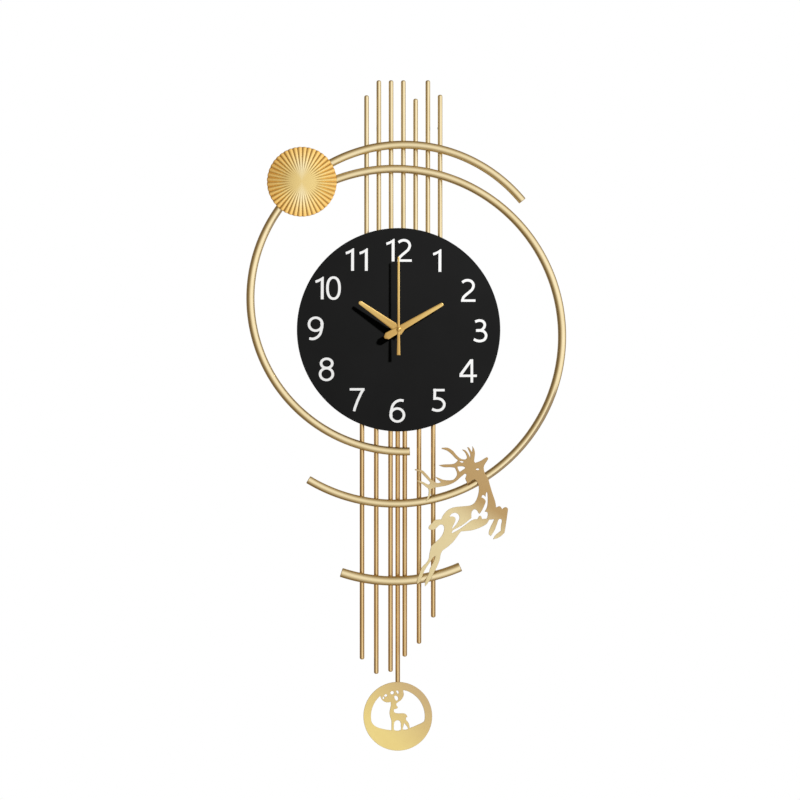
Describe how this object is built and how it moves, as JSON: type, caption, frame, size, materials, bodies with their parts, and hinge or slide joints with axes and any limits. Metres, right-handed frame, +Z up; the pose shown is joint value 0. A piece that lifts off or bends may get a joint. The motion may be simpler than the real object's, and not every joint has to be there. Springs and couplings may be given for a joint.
{
  "type": "pendulum wall clock",
  "caption": "Wall clock with a black round dial on upright gold rods, bent ring tubes, a pleated medallion, a leaping deer cut from sheet and a swinging round pendulum bob.",
  "frame": {"origin": "axis of the wall nail where it meets the wall, at the top of the keyhole in the wall hanger; the dial centre is 70 mm below it", "axes": "+Z up, -Y is the way the dial faces, +X to the right as seen from the front; the wall is the plane y = 0"},
  "size_m": [0.4713, 0.0426, 0.9921],
  "materials": {
    "satin_gold": "satin gold paint over drawn steel, slightly brushed",
    "matte_gold": "matte gold paint on flat cut steel sheet",
    "bright_gold": "bright gold plating on a pleated pressing, brushed at the middle",
    "dial_black": "matte black acrylic sheet with white printed numerals",
    "hand_gold": "gold anodised thin sheet, finely brushed",
    "case_plastic": "moulded black plastic with a fine texture",
    "gear_plastic": "white moulded plastic",
    "steel": "zinc plated sheet steel",
    "back_paint": "black paint on sheet steel",
    "brass": "turned brass",
    "copper": "enamelled copper winding",
    "rubber": "black rubber",
    "circuit": "green solder mask",
    "battery_wrap": "plain printed foil sleeve with no lettering"
  },
  "bodies": {
    "root": {"upper_rod_1": "satin_gold", "upper_rod_2": "satin_gold", "upper_rod_3": "satin_gold", "upper_rod_4": "satin_gold", "upper_rod_5": "satin_gold", "upper_rod_6": "satin_gold", "upper_rod_7": "satin_gold", "lower_rod_1": "satin_gold", "lower_rod_2": "satin_gold", "lower_rod_3": "satin_gold", "lower_rod_4": "satin_gold", "lower_rod_5": "satin_gold", "lower_rod_6": "satin_gold", "ring_tube_left": "satin_gold", "ring_tube_right": "satin_gold", "arc_tube_lower": "satin_gold", "deer_standoff_neck": "satin_gold", "deer_standoff_leg": "satin_gold", "deer_plate": "matte_gold", "medallion": "bright_gold", "medallion_stud": "brass", "dial_washer": "brass", "dial_nut": "brass", "back_plate": "back_paint", "wall_hanger": "steel", "wall_pad_1": "rubber", "wall_pad_2": "rubber", "wall_pad_3": "rubber", "wall_pad_4": "rubber", "dial": "dial_black", "stator": "steel", "battery_contact_plus": "steel", "battery_contact_minus": "steel", "pivot_pin": "steel", "movement_front_case": "case_plastic", "movement_back_case": "case_plastic", "circuit_board": "circuit", "battery": "battery_wrap", "stepper_coil": "copper", "drive_coil": "copper"},
    "seconds": {"seconds_wheel": "gear_plastic", "second_hand": "hand_gold"},
    "minutes": {"centre_wheel": "brass", "minute_hand": "hand_gold"},
    "hours": {"hour_wheel": "brass", "hour_hand": "hand_gold"},
    "setting": {"minute_wheel": "gear_plastic", "setting_knob": "case_plastic"},
    "third": {"third_wheel": "gear_plastic"},
    "fifth": {"fifth_wheel": "gear_plastic"},
    "rotor_body": {"rotor": "steel"},
    "pendulum": {"swing_arm": "steel", "drive_magnet": "steel", "pendulum_hook": "brass", "pendulum_rod": "satin_gold", "pendulum_bob": "matte_gold"}
  },
  "joints": [
    {"name": "second_hand_turn", "type": "hinge", "parent": "root", "child": "seconds", "pos_m": [0, -0.02, -0.07], "axis": [0, 1, 0], "continuous": true},
    {"name": "minute_hand_turn", "type": "hinge", "parent": "root", "child": "minutes", "pos_m": [0, -0.02, -0.07], "axis": [0, 1, 0], "continuous": true},
    {"name": "hour_hand_turn", "type": "hinge", "parent": "root", "child": "hours", "pos_m": [0, -0.02, -0.07], "axis": [0, 1, 0], "continuous": true},
    {"name": "setting_knob_turn", "type": "hinge", "parent": "root", "child": "setting", "pos_m": [0.00866, -0.02, -0.065], "axis": [0, 1, 0], "continuous": true},
    {"name": "third_wheel_turn", "type": "hinge", "parent": "root", "child": "third", "pos_m": [-0.00842, -0.02, -0.06514], "axis": [0, 1, 0], "continuous": true},
    {"name": "fifth_wheel_turn", "type": "hinge", "parent": "root", "child": "fifth", "pos_m": [0, -0.02, -0.06125], "axis": [0, 1, 0], "continuous": true},
    {"name": "rotor_turn", "type": "hinge", "parent": "root", "child": "rotor_body", "pos_m": [0.0036, -0.02, -0.05502], "axis": [0, 1, 0], "continuous": true},
    {"name": "pendulum_swing", "type": "hinge", "parent": "root", "child": "pendulum", "pos_m": [-0.0015, -0.0075, -0.112], "axis": [0, 1, 0], "range_deg": [-6, 6]}
  ],
  "couplings": [
    {"joint": "minute_hand_turn", "follows": "second_hand_turn", "ratio": 0.016667},
    {"joint": "hour_hand_turn", "follows": "second_hand_turn", "ratio": 0.0013889},
    {"joint": "setting_knob_turn", "follows": "second_hand_turn", "ratio": -0.0055556},
    {"joint": "third_wheel_turn", "follows": "second_hand_turn", "ratio": -0.13333},
    {"joint": "fifth_wheel_turn", "follows": "second_hand_turn", "ratio": -6},
    {"joint": "rotor_turn", "follows": "second_hand_turn", "ratio": 30}
  ]
}
